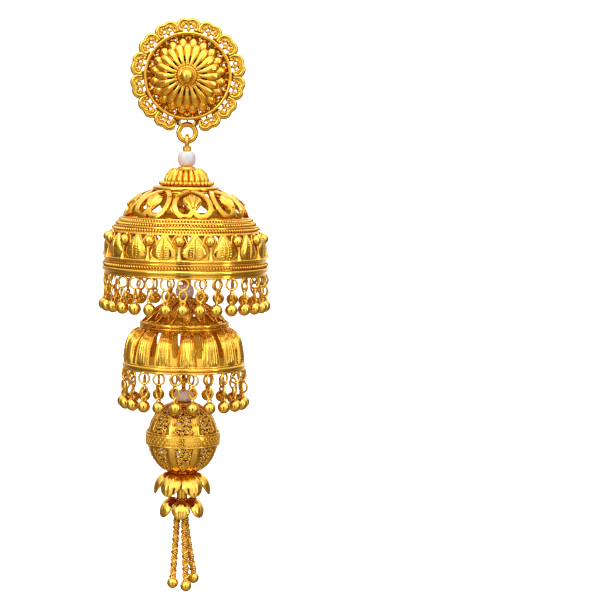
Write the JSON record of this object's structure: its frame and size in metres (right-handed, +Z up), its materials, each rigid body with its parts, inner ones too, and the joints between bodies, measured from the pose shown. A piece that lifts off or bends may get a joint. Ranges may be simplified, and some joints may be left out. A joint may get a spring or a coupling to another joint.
{
  "type": "jhumka drop earring",
  "caption": "Drop earring with a round flower stud, a pierced bell, a ribbed middle dome, a filigree ball, granule fringes and three short chains",
  "frame": {"origin": "centre of the stud's back plane, where the post goes through the ear lobe", "axes": "+Z up, -Y the way the earring faces, +X to the right in the picture"},
  "size_m": [0.0284, 0.0286, 0.0963],
  "materials": {
    "yellow_gold": "polished yellow gold with darker recesses",
    "pearl": "white seed pearl with a soft lustre"
  },
  "bodies": {
    "stud": {"stud_rosette": "yellow_gold", "stud_flower": "yellow_gold", "ear_post": "yellow_gold"},
    "bell": {"bell_pin": "yellow_gold", "top_pearl": "pearl", "bell_crown": "yellow_gold", "bell_dome": "yellow_gold", "bell_fringe": "yellow_gold"},
    "cup": {"cup_pin": "yellow_gold", "middle_pearl": "pearl", "cup_dome": "yellow_gold", "cup_fringe": "yellow_gold"},
    "ball": {"ball_pin": "yellow_gold", "lower_pearl": "pearl", "filigree_ball": "yellow_gold", "upper_petals": "yellow_gold", "lower_petals": "yellow_gold", "chain_left": "yellow_gold", "chain_middle": "yellow_gold", "chain_right": "yellow_gold", "chain_ball_left": "yellow_gold", "chain_ball_middle": "yellow_gold", "chain_ball_right": "yellow_gold"}
  },
  "joints": [
    {"name": "bell_swing", "type": "hinge", "parent": "stud", "child": "bell", "pos_m": [0, -0.0008, -0.0108], "axis": [1, 0, 0], "range_deg": [-60, 60]},
    {"name": "cup_swing", "type": "hinge", "parent": "bell", "child": "cup", "pos_m": [0, -0.0008, -0.0333], "axis": [0, 1, 0], "range_deg": [-20, 20]},
    {"name": "ball_swing", "type": "hinge", "parent": "cup", "child": "ball", "pos_m": [0, -0.0008, -0.051], "axis": [1, 0, 0], "range_deg": [-20, 20]}
  ]
}
